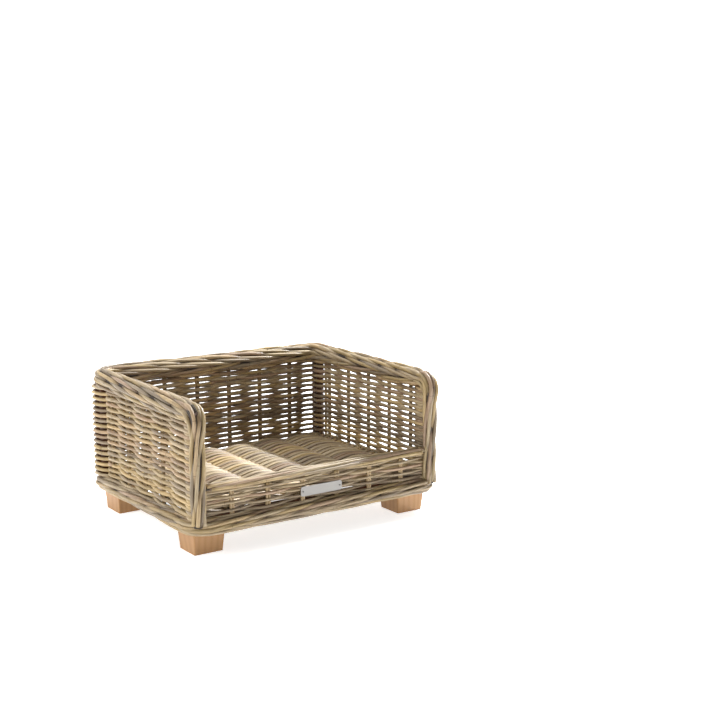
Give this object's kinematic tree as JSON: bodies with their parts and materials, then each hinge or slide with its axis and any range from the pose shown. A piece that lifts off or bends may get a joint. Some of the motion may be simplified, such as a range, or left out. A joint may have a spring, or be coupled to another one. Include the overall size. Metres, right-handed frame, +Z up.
{
  "type": "wicker pet bed basket",
  "caption": "Rectangular woven rattan pet bed with rolled borders, a low entrance wall at the front, a woven floor and four tapered wooden block feet.",
  "frame": {"origin": "on the ground, at the middle of the footprint", "axes": "+X to the basket's right-hand side seen from the entrance, +Y to the back, +Z up; the entrance faces -Y"},
  "size_m": [0.608, 0.488, 0.312],
  "materials": {
    "rattan_pole": "smooth peeled rattan cane pole, satin varnish",
    "border_rattan": "rolled grey-brown rattan rods, matt weathered skin",
    "stake_rattan": "rattan rods, matt",
    "weaver_rattan": "grey-brown rattan rods, matt",
    "floor_rattan": "grey-brown rattan rods, matt",
    "foot_wood": "planed pine, clear matt varnish",
    "screw_steel": "zinc-plated steel",
    "plate_steel": "satin stainless steel"
  },
  "bodies": {
    "root": {"base_rail_back": "rattan_pole", "base_rail_front": "rattan_pole", "base_rail_left": "rattan_pole", "base_rail_right": "rattan_pole", "cross_rail_back": "rattan_pole", "cross_rail_front": "rattan_pole", "edge_border_left": "border_rattan", "edge_border_right": "border_rattan", "floor_stakes": "stake_rattan", "floor_weavers": "floor_rattan", "foot_back_left": "foot_wood", "foot_back_right": "foot_wood", "foot_border_back": "border_rattan", "foot_border_front": "border_rattan", "foot_border_left": "border_rattan", "foot_border_right": "border_rattan", "foot_front_left": "foot_wood", "foot_front_right": "foot_wood", "foot_screws": "screw_steel", "name_plate": "plate_steel", "plate_pins": "plate_steel", "post_back_left": "rattan_pole", "post_back_right": "rattan_pole", "post_front_left": "rattan_pole", "post_front_right": "rattan_pole", "sill_border": "border_rattan", "sill_rail": "rattan_pole", "top_border_back": "border_rattan", "top_border_left": "border_rattan", "top_border_right": "border_rattan", "top_rail_back": "rattan_pole", "top_rail_left": "rattan_pole", "top_rail_right": "rattan_pole", "wall_stakes_back": "stake_rattan", "wall_stakes_front": "stake_rattan", "wall_stakes_left": "stake_rattan", "wall_stakes_right": "stake_rattan", "wall_weavers_back": "weaver_rattan", "wall_weavers_front": "weaver_rattan", "wall_weavers_left": "weaver_rattan", "wall_weavers_right": "weaver_rattan"}
  },
  "joints": []
}
